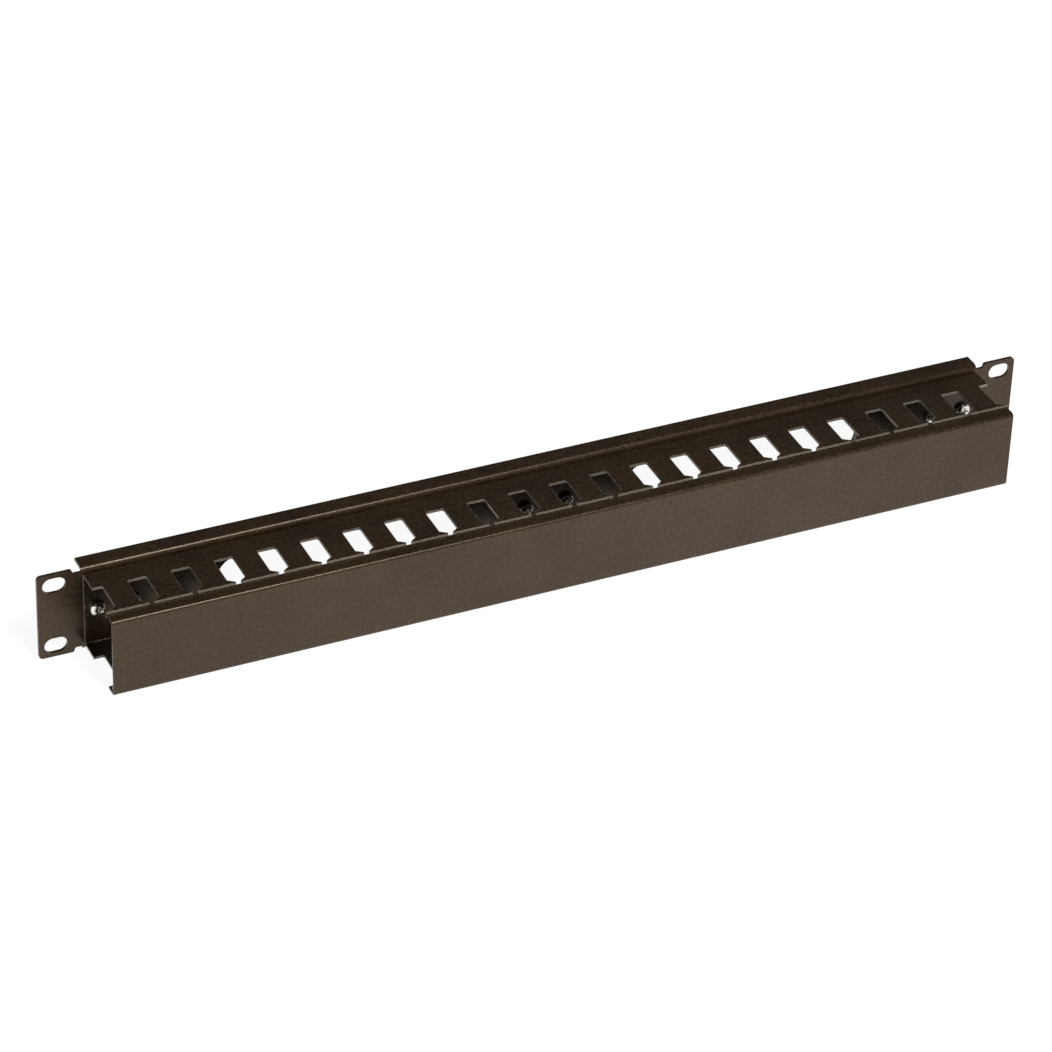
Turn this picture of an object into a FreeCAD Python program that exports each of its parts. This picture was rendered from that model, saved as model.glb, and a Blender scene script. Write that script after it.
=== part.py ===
import FreeCAD, Part
import math
import os
from FreeCAD import Vector

# One-unit horizontal cable manager for a 19-inch rack, in millimetres.
# +X runs along the width, -Y points out of the rack to the user, +Z is up.
# The origin is the middle of the four rack slots, on the ears' rear face.

# Rack panel, one folded steel sheet
PANEL_WIDTH = 482.6
PANEL_HEIGHT = 43.6
PANEL_SHEET = 1.5
PANEL_BEND_R = 0.8          # inside radius of both flange bends
FLANGE_REACH = 7.0          # from the ears' rear face back to the flange's edge
FLANGE_HALF = 221.0
RELIEF_OUT = 224.9          # outer side of the bend relief beside each ear
RELIEF_FLOOR = 19.6
RELIEF_OUTER_R = 0.9
RELIEF_MOUTH_R = 1.2
EAR_CORNER_R = 2.0
RACK_SLOT_X = 233.4
RACK_SLOT_Z = 15.875
RACK_SLOT_LENGTH = 10.7
RACK_SLOT_WIDTH = 7.6

# Rear cable windows, through the panel and the comb channel's web
WINDOW_X = 99.2
WINDOW_LENGTH = 119.4
WINDOW_WIDTH = 21.6

# Comb channel, one folded steel sheet
DUCT_LENGTH = 440.8
DUCT_HEIGHT = 38.0
DUCT_SHEET = 1.2
DUCT_BEND_R = 0.8           # inside radius
DUCT_BACK = -PANEL_SHEET    # the web lies on the panel's front face
TOP_TIP = -32.5             # front ends of the upper fingers
BOTTOM_TIP = -37.3          # front ends of the lower fingers, just behind the cover

# Slots between the fingers
SLOT_PITCH = 20.0
SLOT_COUNT = 21
SLOT_WIDTH = 8.7
SLOT_BACK = -13.6
SLOT_CORNER_R = 1.0
NECK_WIDTH = 2.5
NECK_LENGTH = 0.8
SHOULDER_LENGTH = 2.1       # how far the finger's head takes to widen

# Push-on cover, one folded steel sheet
COVER_SHEET = 1.2
COVER_BEND_R = 0.6
COVER_FACE = -38.8
COVER_TOP = 17.7
COVER_BOTTOM = -21.8
TOP_LEG_BACK = -32.0        # where the upper leg folds down into its lip
LIP_BACK = -29.0
LIP_END = 15.0
BOTTOM_LEG_BACK = -32.2

# Screws and nuts that hold the comb channel on the panel
SCREW_X = (-214.5, -198.0, -10.0, 10.0, 198.0, 214.5)
SCREW_HOLE_R = 2.2
SHANK_R = 1.95
SHANK_LENGTH = 8.0
HEAD_R = 3.6
HEAD_HEIGHT = 2.7
RECESS_LENGTH = 4.0
RECESS_WIDTH = 1.0
RECESS_DEPTH = 1.6
NUT_FLATS = 7.0
NUT_HEIGHT = 3.2
NUT_BORE_R = 2.0

CUT_MARGIN = 2.0            # how far a cutting tool runs past the sheet
TOLERANCE = 1e-6            # points nearer than this are the same point


def rounded_outline(points, radii):
    """Closed wire through the points, with a tangent arc of the given radius at each corner."""
    starts, ends, middles = [], [], []
    count = len(points)
    for i, corner in enumerate(points):
        to_last = (points[i - 1] - corner).normalize()
        to_next = (points[(i + 1) % count] - corner).normalize()
        half = to_last.getAngle(to_next) / 2
        setback = radii[i] / math.tan(half)
        bisector = (to_last + to_next).normalize() if radii[i] else Vector()
        starts.append(corner + to_last * setback)
        ends.append(corner + to_next * setback)
        middles.append(corner + bisector * radii[i] * (1 / math.sin(half) - 1))
    edges = []
    for i in range(count):
        if radii[i]:
            edges.append(Part.Arc(starts[i], middles[i], ends[i]).toShape())
        following = starts[(i + 1) % count]
        if ends[i].distanceToPoint(following) > TOLERANCE:
            edges.append(Part.LineSegment(ends[i], following).toShape())
    return Part.Wire(edges)


def folded_sheet(path, thickness, inside_r, length):
    """A sheet of constant section along X, centred on X = 0.

    The path holds (y, z) points on the outer face, and the sheet lies on its left."""
    points = [Vector(0, y, z) for y, z in path]
    directions = [(b - a).normalize() for a, b in zip(points, points[1:])]
    normals = [Vector(0, -d.z, d.y) for d in directions]
    inner = [points[0] + normals[0] * thickness]
    for corner, before, after in zip(points[1:-1], normals, normals[1:]):
        inner.append(corner + (before + after) * (thickness / (1 + before.dot(after))))
    inner.append(points[-1] + normals[-1] * thickness)
    bends = len(points) - 2
    radii = [0] + [inside_r + thickness] * bends + [0, 0] + [inside_r] * bends + [0]
    section = Part.Face(rounded_outline(points + inner[::-1], radii))
    section.translate(Vector(-length / 2, 0, 0))
    return section.extrude(Vector(length, 0, 0))


def through_y(outline, front, back):
    """Solid with an outline in the XZ plane, between two Y positions."""
    face = Part.Face(outline)
    face.translate(Vector(0, front, 0))
    return face.extrude(Vector(0, back - front, 0))


def obround(x, z, length, width):
    """Slot outline with fully rounded ends, its length along X."""
    half, r = length / 2 - width / 2, width / 2
    left, right = Vector(x - half, 0, z), Vector(x + half, 0, z)
    up, out = Vector(0, 0, r), Vector(r, 0, 0)
    return Part.Wire([
        Part.LineSegment(left + up, right + up).toShape(),
        Part.Arc(right + up, right + out, right - up).toShape(),
        Part.LineSegment(right - up, left - up).toShape(),
        Part.Arc(left - up, left - out, left + up).toShape(),
    ])


def edges_along_y(shape, corners):
    """Edges parallel to Y that stand on the given (x, z) corners."""
    found = []
    for edge in shape.Edges:
        middle = edge.CenterOfMass
        if abs(edge.tangentAt(edge.FirstParameter).y) < 1 - TOLERANCE:
            continue
        if any(math.hypot(middle.x - x, middle.z - z) < TOLERANCE for x, z in corners):
            found.append(edge)
    return found


def rear_cuts():
    """Windows and screw holes, shared by the panel and the channel's web."""
    front, back = DUCT_BACK - DUCT_SHEET - CUT_MARGIN, CUT_MARGIN
    tools = [
        through_y(obround(side * WINDOW_X, 0, WINDOW_LENGTH, WINDOW_WIDTH), front, back)
        for side in (-1, 1)
    ]
    for x in SCREW_X:
        tools.append(Part.makeCylinder(SCREW_HOLE_R, back - front, Vector(x, front, 0), Vector(0, 1, 0)))
    return tools


def ear(side):
    """One rack ear with its two slots and the reliefs that let the flanges fold."""
    top = PANEL_HEIGHT / 2
    outer = PANEL_WIDTH / 2
    plate = Part.makeBox(
        outer - FLANGE_HALF, PANEL_SHEET, PANEL_HEIGHT, Vector(FLANGE_HALF, -PANEL_SHEET, -top)
    )
    plate = plate.makeFillet(EAR_CORNER_R, edges_along_y(plate, [(outer, top), (outer, -top)]))
    relief = [
        Vector(FLANGE_HALF, 0, RELIEF_FLOOR),
        Vector(RELIEF_OUT, 0, RELIEF_FLOOR),
        Vector(RELIEF_OUT, 0, top + CUT_MARGIN),
        Vector(FLANGE_HALF, 0, top + CUT_MARGIN),
    ]
    outline = rounded_outline(relief, [0, RELIEF_OUTER_R, 0, 0])
    upper = through_y(outline, -PANEL_SHEET - CUT_MARGIN, CUT_MARGIN)
    lower = upper.mirror(Vector(), Vector(0, 0, 1))
    slots = [
        through_y(
            obround(RACK_SLOT_X, z, RACK_SLOT_LENGTH, RACK_SLOT_WIDTH),
            -PANEL_SHEET - CUT_MARGIN,
            CUT_MARGIN,
        )
        for z in (-RACK_SLOT_Z, RACK_SLOT_Z)
    ]
    plate = plate.cut([upper, lower] + slots)
    mouths = [(RELIEF_OUT, top), (RELIEF_OUT, -top)]
    plate = plate.makeFillet(RELIEF_MOUTH_R, edges_along_y(plate, mouths))
    return plate if side > 0 else plate.mirror(Vector(), Vector(1, 0, 0))


def back_panel():
    """Folded panel: flat front, a flange turned back along top and bottom, an ear at each end."""
    top = PANEL_HEIGHT / 2
    path = [
        (FLANGE_REACH, top),
        (-PANEL_SHEET, top),
        (-PANEL_SHEET, -top),
        (FLANGE_REACH, -top),
    ]
    panel = folded_sheet(path, PANEL_SHEET, PANEL_BEND_R, 2 * FLANGE_HALF)
    panel = panel.fuse([ear(-1), ear(1)]).removeSplitter()
    return panel.cut(rear_cuts())


def slot_tool(x, tip, low, high, open_front=True):
    """Cutter for one slot: parallel sides, shoulders, then a narrow neck out to the tips."""
    wide, narrow = SLOT_WIDTH / 2, NECK_WIDTH / 2
    neck = tip + NECK_LENGTH
    shoulder = neck + SHOULDER_LENGTH
    right = [
        (wide, SLOT_BACK, SLOT_CORNER_R),
        (wide, shoulder, 0),
        (narrow, neck, 0),
    ]
    if open_front:
        right.append((narrow, tip - CUT_MARGIN, 0))
    left = [(-px, py, r) for px, py, r in reversed(right)]
    corners = right + left
    outline = rounded_outline([Vector(x + px, py, low) for px, py, _ in corners], [r for _, _, r in corners])
    return Part.Face(outline).extrude(Vector(0, 0, high - low))


def comb_channel():
    """U-shaped channel whose top and bottom walls are combs of T-headed fingers."""
    top = DUCT_HEIGHT / 2
    path = [(BOTTOM_TIP, -top), (DUCT_BACK, -top), (DUCT_BACK, top), (TOP_TIP, top)]
    channel = folded_sheet(path, DUCT_SHEET, DUCT_BEND_R, DUCT_LENGTH)
    tools = rear_cuts()
    middle = (SLOT_COUNT - 1) / 2
    for tip, low in ((TOP_TIP, top - DUCT_SHEET - CUT_MARGIN), (BOTTOM_TIP, -top - CUT_MARGIN)):
        high = low + DUCT_SHEET + 2 * CUT_MARGIN
        for i in range(SLOT_COUNT):
            tools.append(slot_tool((i - middle) * SLOT_PITCH, tip, low, high))
        for end in (-1, 1):
            tools.append(slot_tool(end * (middle + 1) * SLOT_PITCH, tip, low, high, open_front=False))
    return channel.cut(tools)


def cover():
    """Push-on cover: its upper leg slips under the upper fingers, its lower leg under the lower."""
    path = [
        (LIP_BACK, LIP_END),
        (TOP_LEG_BACK, COVER_TOP),
        (COVER_FACE, COVER_TOP),
        (COVER_FACE, COVER_BOTTOM),
        (BOTTOM_LEG_BACK, COVER_BOTTOM),
    ]
    return folded_sheet(path, COVER_SHEET, COVER_BEND_R, DUCT_LENGTH)


def screw(x):
    """Cross-recessed machine screw, its head on the channel's web."""
    seat = DUCT_BACK - DUCT_SHEET
    forward = Vector(0, -1, 0)
    head = Part.makeCylinder(HEAD_R, HEAD_HEIGHT, Vector(x, seat, 0), forward)
    shank = Part.makeCylinder(SHANK_R, SHANK_LENGTH, Vector(x, seat, 0), -forward)
    body = shank.fuse(head)
    mouth = seat - HEAD_HEIGHT - CUT_MARGIN
    for size_x, size_z in ((RECESS_LENGTH, RECESS_WIDTH), (RECESS_WIDTH, RECESS_LENGTH)):
        corner = Vector(x - size_x / 2, mouth, -size_z / 2)
        body = body.cut(Part.makeBox(size_x, RECESS_DEPTH + CUT_MARGIN, size_z, corner))
    return body


def nut(x):
    """Hexagon nut on the panel's rear face."""
    corner_r = NUT_FLATS / math.sqrt(3)
    corners = [
        Vector(x + corner_r * math.cos(math.radians(a)), 0, corner_r * math.sin(math.radians(a)))
        for a in range(0, 360, 60)
    ]
    prism = Part.Face(Part.makePolygon(corners + corners[:1])).extrude(Vector(0, NUT_HEIGHT, 0))
    bore = Part.makeCylinder(NUT_BORE_R, NUT_HEIGHT, Vector(x, 0, 0), Vector(0, 1, 0))
    return prism.cut(bore)


parts = {
    "back_panel": back_panel(),
    "comb_channel": comb_channel(),
    "cover": cover(),
}
for number, position in enumerate(SCREW_X, start=1):
    parts[f"screw_{number}"] = screw(position)
    parts[f"nut_{number}"] = nut(position)

os.makedirs("parts", exist_ok=True)
for name, shape in parts.items():
    solid = shape.Solids[0]
    print(name, "solids", len(shape.Solids), "valid", solid.isValid(), "volume", round(solid.Volume, 1))
    solid.exportStep(f"parts/{name}.step")
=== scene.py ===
import math

import bmesh
import bpy
from mathutils import Matrix, Vector


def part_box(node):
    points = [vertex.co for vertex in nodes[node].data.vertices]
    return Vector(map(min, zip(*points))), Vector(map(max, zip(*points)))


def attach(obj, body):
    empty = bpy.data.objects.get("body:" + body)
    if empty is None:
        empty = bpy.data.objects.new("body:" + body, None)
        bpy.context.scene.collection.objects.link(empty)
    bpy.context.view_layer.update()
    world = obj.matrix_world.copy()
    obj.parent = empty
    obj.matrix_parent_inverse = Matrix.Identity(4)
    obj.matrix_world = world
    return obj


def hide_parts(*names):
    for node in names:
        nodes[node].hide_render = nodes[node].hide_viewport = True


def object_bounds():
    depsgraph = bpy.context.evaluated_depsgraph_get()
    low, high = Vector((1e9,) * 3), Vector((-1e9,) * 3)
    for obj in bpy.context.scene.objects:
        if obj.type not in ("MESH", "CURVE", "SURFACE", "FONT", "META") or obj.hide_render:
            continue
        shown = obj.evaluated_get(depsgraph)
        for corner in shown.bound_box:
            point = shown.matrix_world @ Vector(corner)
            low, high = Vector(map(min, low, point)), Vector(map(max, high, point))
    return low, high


# A horizontal cable manager for a rack: coats and rounded edges for its three folded sheets,
# detailed screws and nuts in the plain ones' places, and a white studio. Metres, CAD frame.

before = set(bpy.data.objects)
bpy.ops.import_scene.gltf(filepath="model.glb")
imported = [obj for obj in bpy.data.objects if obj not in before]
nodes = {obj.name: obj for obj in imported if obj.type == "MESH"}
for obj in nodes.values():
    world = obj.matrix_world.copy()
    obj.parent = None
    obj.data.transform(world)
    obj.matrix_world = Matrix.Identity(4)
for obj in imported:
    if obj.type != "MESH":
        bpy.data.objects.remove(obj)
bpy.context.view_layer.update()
scene = bpy.context.scene

MM = 0.001
SCREWS = sorted(name for name in nodes if name.startswith("screw"))
NUTS = sorted(name for name in nodes if name.startswith("nut"))

# The comb's walls and web, from the frame
COMB_SHEET = 1.2 * MM
comb_rear, comb_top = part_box("comb_channel")[1][1:]
wall_inside = comb_top - COMB_SHEET - 0.1 * MM      # the height just inside either wall
web_front = comb_rear - 4 * MM                      # clear of the web and its bends


# ---------------------------------------------------------------- node helpers
def new_material(name):
    mat = bpy.data.materials.new(name)
    mat.use_nodes = True
    tree = mat.node_tree
    tree.nodes.clear()
    out = tree.nodes.new("ShaderNodeOutputMaterial")
    return mat, tree, out.inputs["Surface"]


def principled(name):
    mat, tree, surface = new_material(name)
    shader = tree.nodes.new("ShaderNodeBsdfPrincipled")
    tree.links.new(shader.outputs["BSDF"], surface)
    coords = tree.nodes.new("ShaderNodeTexCoord").outputs["Object"]
    return mat, tree, shader, coords


def feed(tree, socket, source):
    """Links a socket, or sets it when the source is a plain value."""
    if isinstance(source, bpy.types.NodeSocket):
        tree.links.new(source, socket)
    elif isinstance(source, tuple):
        socket.default_value = (*source, 1)
    else:
        socket.default_value = source


def compute(tree, operation, *sources):
    node = tree.nodes.new("ShaderNodeMath")
    node.operation = operation
    for socket, source in zip(node.inputs, sources):
        feed(tree, socket, source)
    return node.outputs[0]


def noise(tree, coords, scale, detail):
    node = tree.nodes.new("ShaderNodeTexNoise")
    node.inputs["Scale"].default_value = scale
    node.inputs["Detail"].default_value = detail
    tree.links.new(coords, node.inputs["Vector"])
    return node.outputs["Fac"]


def remap(tree, source, start, end, low=0.0, high=1.0):
    """Maps start..end to low..high, held at both ends."""
    node = tree.nodes.new("ShaderNodeMapRange")
    feed(tree, node.inputs["Value"], source)
    values = {"From Min": start, "From Max": end, "To Min": low, "To Max": high}
    for name, value in values.items():
        node.inputs[name].default_value = value
    return node.outputs["Result"]


def blend_colour(tree, factor, first, second):
    node = tree.nodes.new("ShaderNodeMix")
    node.data_type = "RGBA"
    feed(tree, node.inputs["Factor"], factor)
    feed(tree, node.inputs["A"], first)
    feed(tree, node.inputs["B"], second)
    return node.outputs["Result"]


def bump(tree, shader, height, distance, strength):
    node = tree.nodes.new("ShaderNodeBump")
    node.inputs["Strength"].default_value = strength
    node.inputs["Distance"].default_value = distance
    tree.links.new(height, node.inputs["Height"])
    tree.links.new(node.outputs["Normal"], shader.inputs["Normal"])


def split(tree, vector):
    node = tree.nodes.new("ShaderNodeSeparateXYZ")
    tree.links.new(vector, node.inputs[0])
    return node.outputs


# ---------------------------------------------------------------- masks
EDGE_REACH = 0.6 * MM
EDGE_TILT = math.radians(30)        # tilt of the rounded normal at which an edge counts in full
FACING_SPAN = (0.3, 0.6)            # part of a normal from which a face starts to count, and is full


def edge_mask(tree):
    """1 where the surface bends sharply within the edge's reach, 0 on flat faces."""
    rounded = tree.nodes.new("ShaderNodeBevel")
    rounded.samples = 6
    rounded.inputs["Radius"].default_value = EDGE_REACH
    surface = tree.nodes.new("ShaderNodeNewGeometry")
    dot = tree.nodes.new("ShaderNodeVectorMath")
    dot.operation = "DOT_PRODUCT"
    tree.links.new(rounded.outputs["Normal"], dot.inputs[0])
    tree.links.new(surface.outputs["Normal"], dot.inputs[1])
    return remap(tree, dot.outputs["Value"], 1.0, math.cos(EDGE_TILT))


def sheared_mask(tree, coords):
    """1 on the comb's cut faces: those that face sideways, and in its walls forwards or backwards."""
    surface = tree.nodes.new("ShaderNodeNewGeometry")
    normal = split(tree, surface.outputs["True Normal"])
    place = split(tree, coords)
    sideways = remap(tree, compute(tree, "ABSOLUTE", normal["X"]), *FACING_SPAN)
    lengthways = remap(tree, compute(tree, "ABSOLUTE", normal["Y"]), *FACING_SPAN)
    height = compute(tree, "ABSOLUTE", place["Z"])
    in_wall = compute(tree, "GREATER_THAN", height, wall_inside)
    in_front = compute(tree, "LESS_THAN", place["Y"], web_front)
    ends = compute(tree, "MULTIPLY", lengthways, compute(tree, "MULTIPLY", in_wall, in_front))
    return compute(tree, "MAXIMUM", sideways, ends)


# ---------------------------------------------------------------- powder coat
# Linear colours. Noise scales are per metre. A span is the stretch of a noise's values that is used.
COAT_DARK = (0.0185, 0.0116, 0.0064)
COAT_LIGHT = (0.038, 0.0238, 0.0132)
# The edge colour is a painted highlight: the pale line that light catches along the coat's rounded
# edges and cut faces.
COAT_EDGE_HIGHLIGHT = (0.23, 0.195, 0.155)
COAT_SPECULAR = 0.42
COAT_SPECULAR_TINT = (1.0, 0.78, 0.58)
COAT_ROUGHNESS = (0.23, 0.33)
MOTTLE_SCALE, MOTTLE_SHARE = 38, 0.4
SPECKLE_SCALE, SPECKLE_SHARE = 620, 0.6
PEEL_SCALE, PEEL_DEPTH, PEEL_STRENGTH = 2300, 0.02 * MM, 0.3
TONE_SPAN = (0.38, 0.62)
HIGHLIGHT_SPAN = (0.3, 0.6)
GLOSS_SPAN = (0.3, 0.7)
CUT_LEAST, CUT_MOST = 0.75, 1.0                         # share of painted highlight colour on the cut faces
PANEL_RIM, COMB_RIM, COVER_RIM = 0.15, 1.0, 0.45        # and on each sheet's edges


def powder_coat(name, rim, sheared=False):
    """Warm-black powder coat: mottle, speckle, fine orange peel, and a painted highlight on its edges
    and cut faces.
    """
    mat, tree, shader, coords = principled(name)
    mottle = noise(tree, coords, MOTTLE_SCALE, 4)
    speckle = noise(tree, coords, SPECKLE_SCALE, 3)
    peel = noise(tree, coords, PEEL_SCALE, 2)

    mottle_part = compute(tree, "MULTIPLY", mottle, MOTTLE_SHARE)
    speckle_part = compute(tree, "MULTIPLY", speckle, SPECKLE_SHARE)
    mixed = compute(tree, "ADD", mottle_part, speckle_part)
    colour = blend_colour(tree, remap(tree, mixed, *TONE_SPAN), COAT_DARK, COAT_LIGHT)

    # Painted highlight: the pale edge colour goes on sharp edges, broken up by the speckle, and on the
    # comb's cut faces.
    edge_highlight = compute(tree, "MULTIPLY", edge_mask(tree), remap(tree, speckle, *HIGHLIGHT_SPAN))
    edge_highlight = compute(tree, "MULTIPLY", edge_highlight, rim)
    if sheared:
        uneven = remap(tree, mixed, *HIGHLIGHT_SPAN, CUT_LEAST, CUT_MOST)
        cut = compute(tree, "MULTIPLY", sheared_mask(tree, coords), uneven)
        edge_highlight = compute(tree, "MAXIMUM", edge_highlight, cut)

    feed(tree, shader.inputs["Base Color"], blend_colour(tree, edge_highlight, colour, COAT_EDGE_HIGHLIGHT))
    feed(tree, shader.inputs["Roughness"], remap(tree, speckle, *GLOSS_SPAN, *COAT_ROUGHNESS))
    feed(tree, shader.inputs["Specular IOR Level"], COAT_SPECULAR)
    feed(tree, shader.inputs["Specular Tint"], COAT_SPECULAR_TINT)
    bump(tree, shader, peel, PEEL_DEPTH, PEEL_STRENGTH)
    return mat


# ---------------------------------------------------------------- zinc plate
ZINC_DARK = (0.66, 0.63, 0.56)
ZINC_LIGHT = (0.88, 0.86, 0.80)
ZINC_ROUGHNESS = (0.16, 0.28)
CLOUD_SCALE, CLOUD_SPAN = 900, (0.35, 0.65)
GRAIN_SCALE, GRAIN_DEPTH, GRAIN_STRENGTH = 6000, 0.01 * MM, 0.4


def zinc():
    """Bright zinc plating: a cloudy tone and a fine grain."""
    mat, tree, shader, coords = principled("zinc_plate")
    cloud = noise(tree, coords, CLOUD_SCALE, 4)
    grain = noise(tree, coords, GRAIN_SCALE, 2)
    colour = blend_colour(tree, remap(tree, cloud, *CLOUD_SPAN), ZINC_DARK, ZINC_LIGHT)
    feed(tree, shader.inputs["Base Color"], colour)
    feed(tree, shader.inputs["Roughness"], remap(tree, cloud, *GLOSS_SPAN, *ZINC_ROUGHNESS))
    feed(tree, shader.inputs["Metallic"], 1.0)
    bump(tree, shader, grain, GRAIN_DEPTH, GRAIN_STRENGTH)
    return mat


# ---------------------------------------------------------------- materials on the CAD nodes
coats = {
    "back_panel": powder_coat("coat_panel", PANEL_RIM),
    "comb_channel": powder_coat("coat_comb", COMB_RIM, sheared=True),
    "cover": powder_coat("coat_cover", COVER_RIM),
}
plating = zinc()
for name, obj in nodes.items():
    for slot in obj.material_slots:
        slot.material = coats.get(name, plating)

# ---------------------------------------------------------------- sheets: softened edges
WELD_GAP = 0.002 * MM
FLAT_ANGLE = math.radians(1)
SHARP_ANGLE = math.radians(35)
COATED_ROUND = 0.22 * MM


def soften(obj):
    """Small rounds on a sheet's sharp edges, as a coat of powder leaves them."""
    weld = obj.modifiers.new("weld", "WELD")
    weld.merge_threshold = WELD_GAP
    flat = obj.modifiers.new("flat", "DECIMATE")
    flat.decimate_type = "DISSOLVE"
    flat.angle_limit = FLAT_ANGLE
    rounds = obj.modifiers.new("rounds", "BEVEL")
    rounds.width = COATED_ROUND
    rounds.segments = 2
    rounds.limit_method = "ANGLE"
    rounds.angle_limit = SHARP_ANGLE
    rounds.use_clamp_overlap = True
    smooth = obj.modifiers.new("smooth", "WEIGHTED_NORMAL")
    smooth.mode = "FACE_AREA"
    smooth.keep_sharp = False


for name in coats:
    soften(nodes[name])


# ---------------------------------------------------------------- turned shapes
SMOOTH_ANGLE = math.radians(32)


def ring(radius, y):
    """A row of the same radius and Y all round."""
    return lambda angle: (radius, y)


def lathe(name, rows, columns, close=False):
    """Mesh of rings about the Y axis. A row gives radius and Y for an angle; radius 0 is one point."""
    mesh = bpy.data.meshes.new(name)
    bm = bmesh.new()
    rings = []
    for row in rows:
        verts = []
        for i in range(columns):
            angle = 2 * math.pi * i / columns
            radius, y = row(angle)
            if not verts or radius > 0:
                place = (radius * math.cos(angle), y, radius * math.sin(angle))
                verts.append(bm.verts.new(place))
        rings.append(verts)
    pairs = list(zip(rings, rings[1:]))
    if close:
        pairs.append((rings[-1], rings[0]))
    for first, second in pairs:
        for i in range(columns):
            j = (i + 1) % columns
            near = [first[i % len(first)], first[j % len(first)]]
            far = [second[j % len(second)], second[i % len(second)]]
            bm.faces.new(dict.fromkeys(near + far))
    bmesh.ops.recalc_face_normals(bm, faces=bm.faces)
    bm.to_mesh(mesh)
    bm.free()
    return mesh


def finish_mesh(mesh):
    mesh.materials.clear()
    mesh.materials.append(plating)
    mesh.polygons.foreach_set("use_smooth", [True] * len(mesh.polygons))
    mesh.set_sharp_from_angle(angle=SMOOTH_ANGLE)
    return mesh


# ---------------------------------------------------------------- screws
HEAD_HEIGHT = 2.7 * MM
HEAD_SIDE = 0.9 * MM            # height of the head's straight side
HEAD_CHAMFER = 0.15 * MM
CROWN_STEPS = 9
CROWN_POWER = 0.8               # below 1 flattens the crown
SHANK_RADIUS = 1.95 * MM
TIP_CHAMFER = 0.5 * MM
THREAD_PITCH = 0.7 * MM
THREAD_DEPTH = 0.3 * MM
STEPS_PER_TURN = 6
RECESS_WIDTH = 1.05 * MM
RECESS_LENGTH = 4.0 * MM
RECESS_DEPTH = 1.6 * MM
SCREW_COLUMNS = 48


def thread_row(seat, y):
    """A slice of the rolled thread. It fades into the plain shank within a pitch of the head."""
    def row(angle):
        phase = (y / THREAD_PITCH - angle / (2 * math.pi)) % 1
        fade = min(1, (y - seat) / THREAD_PITCH)
        return SHANK_RADIUS - THREAD_DEPTH * fade * (1 - abs(2 * phase - 1)), y
    return row


def screw_rows(head_radius, seat, tip):
    """Pan head with a flattened crown, then a rolled thread down to a chamfered tip."""
    crown_height = HEAD_HEIGHT - HEAD_SIDE
    rows = [ring(0, seat - HEAD_HEIGHT)]
    for i in range(1, CROWN_STEPS + 1):
        a = math.pi / 2 * (1 - i / CROWN_STEPS)
        radius = head_radius * math.cos(a) ** CROWN_POWER
        rows.append(ring(radius, seat - HEAD_SIDE - crown_height * math.sin(a) ** CROWN_POWER))
    rows.append(ring(head_radius, seat - HEAD_CHAMFER))
    rows.append(ring(head_radius - HEAD_CHAMFER, seat))
    rows.append(ring(SHANK_RADIUS, seat))
    length = tip - TIP_CHAMFER - seat
    count = int(length / THREAD_PITCH * STEPS_PER_TURN)
    rows += [thread_row(seat, seat + length * k / count) for k in range(1, count + 1)]
    rows += [ring(SHANK_RADIUS - TIP_CHAMFER, tip), ring(0, tip)]
    return rows


def cross_cutter(top):
    """Two tapered bars that cross, for the driver's recess. They start above the head's crown."""
    sections = ((top - 1 * MM, 1.3), (top + RECESS_DEPTH, 0.55))       # Y and share of the length
    bm = bmesh.new()
    for turn in (0, math.pi / 2):
        corners = []
        for y, share in sections:
            half_length = RECESS_LENGTH / 2 * share
            half_width = RECESS_WIDTH / 2 * (0.4 + 0.6 * share)        # the width tapers less
            for sx, sz in ((-1, -1), (1, -1), (1, 1), (-1, 1)):
                corners.append(bm.verts.new((sx * half_length, y, sz * half_width)))
        outer, inner = corners[:4], corners[4:]
        bm.faces.new(outer)
        bm.faces.new(inner)
        for i in range(4):
            j = (i + 1) % 4
            bm.faces.new((outer[i], outer[j], inner[j], inner[i]))
        bmesh.ops.rotate(bm, verts=corners, matrix=Matrix.Rotation(turn, 3, "Y"))
    bmesh.ops.recalc_face_normals(bm, faces=bm.faces)
    mesh = bpy.data.meshes.new("cross")
    bm.to_mesh(mesh)
    bm.free()
    return mesh


def carve(mesh, tool_mesh):
    """The mesh with the tool's volume taken out."""
    body = bpy.data.objects.new("body", mesh)
    tool = bpy.data.objects.new("tool", tool_mesh)
    for obj in (body, tool):
        scene.collection.objects.link(obj)
    cut = body.modifiers.new("cut", "BOOLEAN")
    cut.object = tool
    cut.solver = "EXACT"
    cut.use_self = True
    evaluated = body.evaluated_get(bpy.context.evaluated_depsgraph_get())
    carved = bpy.data.meshes.new_from_object(evaluated)
    for obj in (body, tool):
        bpy.data.objects.remove(obj)
    return carved


def make_screw(node):
    """The detailed screw's mesh, about the Y axis and as deep as the node."""
    low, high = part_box(node)
    head_radius = (high[0] - low[0]) / 2
    rows = screw_rows(head_radius, low[1] + HEAD_HEIGHT, high[1])
    return finish_mesh(carve(lathe("screw", rows, SCREW_COLUMNS), cross_cutter(low[1])))


# ---------------------------------------------------------------- nuts
BORE_RADIUS = 2.0 * MM
BORE_CHAMFER = 0.25 * MM
NUT_FACE = 0.95                 # the round face's radius, as a share of the apothem
CORNER_SLOPE = math.tan(math.radians(30))
NUT_COLUMNS = 72


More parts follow.
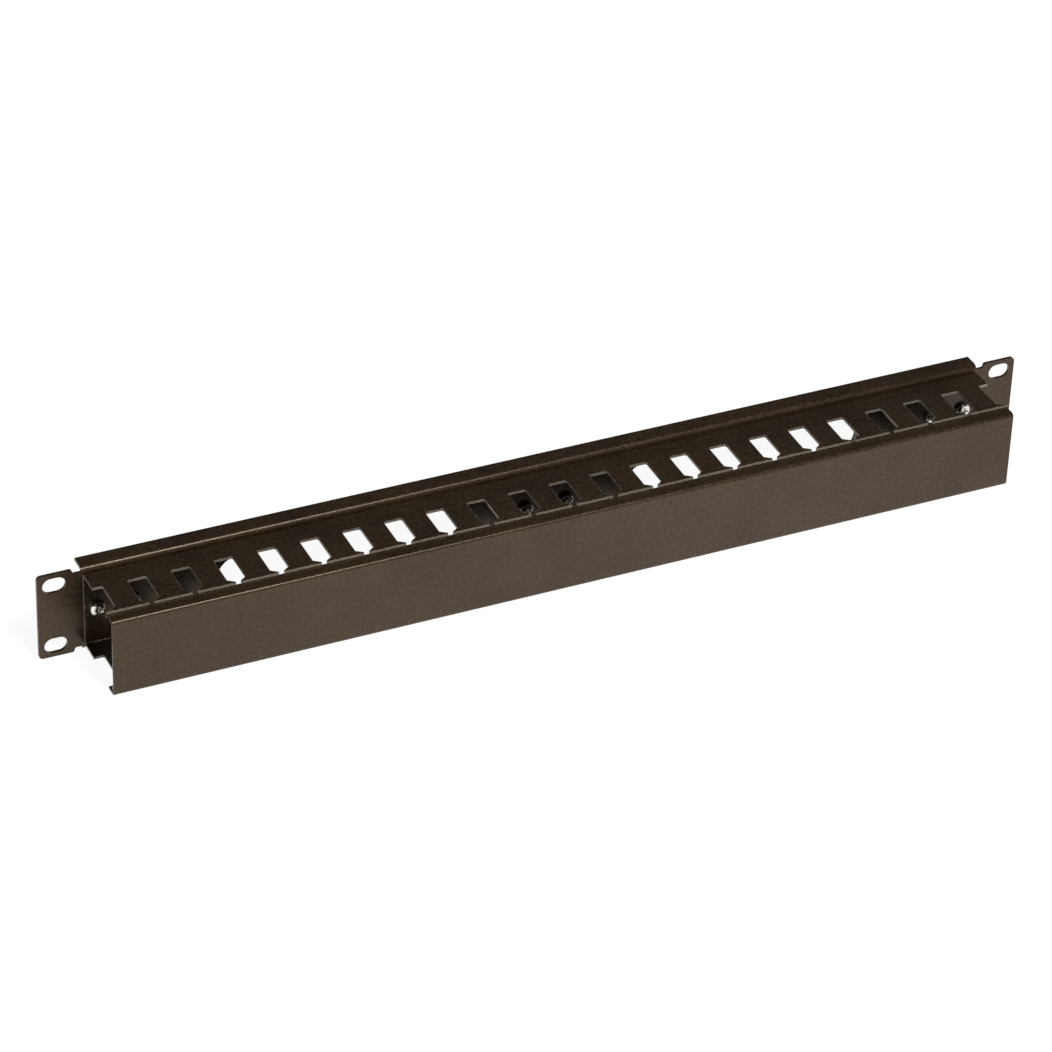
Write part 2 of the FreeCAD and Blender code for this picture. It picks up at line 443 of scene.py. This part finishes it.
def make_nut(node):
    """The detailed nut's mesh: a hexagon with corners cut back along a cone, and a chamfered bore."""
    low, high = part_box(node)
    front, rear = low[1], high[1]
    apothem = (high[2] - low[2]) / 2
    face_radius = NUT_FACE * apothem

    def corner_row(y, inwards):
        def row(angle):
            radius = apothem / math.cos((angle + math.pi / 6) % (math.pi / 3) - math.pi / 6)
            return radius, y + inwards * max(0, radius - face_radius) * CORNER_SLOPE
        return row

    rows = [
        ring(BORE_RADIUS, front + BORE_CHAMFER),
        ring(BORE_RADIUS + BORE_CHAMFER, front),
        ring(face_radius, front),
        corner_row(front, 1),
        corner_row(rear, -1),
        ring(face_radius, rear),
        ring(BORE_RADIUS + BORE_CHAMFER, rear),
        ring(BORE_RADIUS, rear - BORE_CHAMFER),
    ]
    return finish_mesh(lathe("nut", rows, NUT_COLUMNS, close=True))


# ---------------------------------------------------------------- pieces in the plain ones' places
def add_piece(name, mesh, node, x):
    """A detailed piece in a plain node's place."""
    piece = bpy.data.objects.new(name, mesh)
    scene.collection.objects.link(piece)
    piece.location = (x, 0, 0)
    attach(piece, "frame")
    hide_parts(node)


screw_mesh = make_screw(SCREWS[0])
nut_mesh = make_nut(NUTS[0])
for kind, mesh in ((SCREWS, screw_mesh), (NUTS, nut_mesh)):
    for node in kind:
        low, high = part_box(node)
        add_piece(node + "_detail", mesh, node, (low[0] + high[0]) / 2)

# ---------------------------------------------------------------- camera
# From the user's upper left, on a point near the middle of the ears' rear face.
TARGET = (-7.84 * MM, 0, -11.54 * MM)
DISTANCE = 2043.1 * MM
AZIMUTH = math.radians(25.524)          # to the left of straight in front
ELEVATION = math.radians(34.631)
ROLL = math.radians(2.163)

camera_data = bpy.data.cameras.new("camera")
camera_data.sensor_width = 36.0
camera_data.lens = 154.25
camera_data.clip_start = 0.05
camera_data.clip_end = 50
camera_data.shift_x = -0.0005
camera = bpy.data.objects.new("camera", camera_data)
scene.collection.objects.link(camera)
camera.matrix_world = (
    Matrix.Translation(TARGET)
    @ Matrix.Rotation(-AZIMUTH, 4, "Z")
    @ Matrix.Rotation(math.pi / 2 - ELEVATION, 4, "X")
    @ Matrix.Rotation(ROLL, 4, "Z")
    @ Matrix.Translation((0, 0, DISTANCE))
)
scene.camera = camera

# ---------------------------------------------------------------- floor and backdrop
FLOOR_GREY = 0.8                        # as bounced light meets it
SHOWN_GREY, SHOWN_GLOW = 0.2, 0.93      # as the camera and reflections see it
FLOOR_GAP = 0.2 * MM
FLOOR_HALF_SIDE = 12
BACKDROP_RADIUS = 6
BACKDROP_HEIGHT = 1.6
BACKDROP_COLUMNS = 96


def diffuse(tree, level):
    node = tree.nodes.new("ShaderNodeBsdfDiffuse")
    node.inputs["Color"].default_value = (level, level, level, 1)
    return node.outputs[0]


def studio_white():
    """Pale grey to the light. The camera and reflections see a white glow that keeps a faint shadow."""
    mat, tree, surface = new_material("studio_white")
    glow = tree.nodes.new("ShaderNodeEmission")
    glow.inputs["Strength"].default_value = SHOWN_GLOW
    shown = tree.nodes.new("ShaderNodeAddShader")
    tree.links.new(diffuse(tree, SHOWN_GREY), shown.inputs[0])
    tree.links.new(glow.outputs[0], shown.inputs[1])
    path = tree.nodes.new("ShaderNodeLightPath")
    seen = compute(tree, "MAXIMUM", path.outputs["Is Camera Ray"], path.outputs["Is Glossy Ray"])
    seen = compute(tree, "MAXIMUM", seen, path.outputs["Is Transmission Ray"])
    mix = tree.nodes.new("ShaderNodeMixShader")
    feed(tree, mix.inputs[0], seen)
    tree.links.new(diffuse(tree, FLOOR_GREY), mix.inputs[1])
    tree.links.new(shown.outputs[0], mix.inputs[2])
    tree.links.new(mix.outputs[0], surface)
    return mat


def add_stage(name, mesh, place, material):
    stage = bpy.data.objects.new(name, mesh)
    scene.collection.objects.link(stage)
    stage.location = place
    mesh.materials.append(material)
    return stage


def floor_plane():
    mesh = bpy.data.meshes.new("floor")
    bm = bmesh.new()
    bmesh.ops.create_grid(bm, x_segments=1, y_segments=1, size=FLOOR_HALF_SIDE)
    bm.to_mesh(mesh)
    bm.free()
    return mesh


white = studio_white()
ground = (0, 0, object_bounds()[0][2] - FLOOR_GAP)
floor = add_stage("floor", floor_plane(), ground, white)
floor.visible_shadow = False        # a light table: the low lamp shines up through it

backdrop_rows = [ring(BACKDROP_RADIUS, 0), ring(BACKDROP_RADIUS, BACKDROP_HEIGHT)]
backdrop_mesh = lathe("backdrop", backdrop_rows, BACKDROP_COLUMNS)
backdrop = add_stage("backdrop", backdrop_mesh, ground, white)
backdrop.rotation_euler = (math.pi / 2, 0, 0)

# ---------------------------------------------------------------- world: a dim, even fill
world = bpy.data.worlds.new("world")
scene.world = world
world.use_nodes = True
fill = world.node_tree.nodes["Background"]
fill.inputs["Color"].default_value = (1, 1, 1, 1)
fill.inputs["Strength"].default_value = 0.06


# ---------------------------------------------------------------- lamps
def area(name, place, size, power):
    """A rectangular lamp that points at the origin. Metres and watts."""
    data = bpy.data.lights.new(name, "AREA")
    data.shape = "RECTANGLE"
    data.size, data.size_y = size
    data.energy = power
    lamp = bpy.data.objects.new(name, data)
    scene.collection.objects.link(lamp)
    lamp.location = place
    lamp.rotation_euler = (-Vector(place)).to_track_quat("-Z", "Y").to_euler()


area("low_key", (0.70, -1.10, -1.15), (0.9, 0.7), 6)            # the front, from below the floor
area("bend_light", (0.10, -0.95, 1.15), (0.60, 0.36), 19)       # the line along the upper fold
area("side_fill", (-1.30, -0.65, 0.05), (0.6, 0.6), 4)          # the open left end

scene.view_settings.view_transform = "Standard"
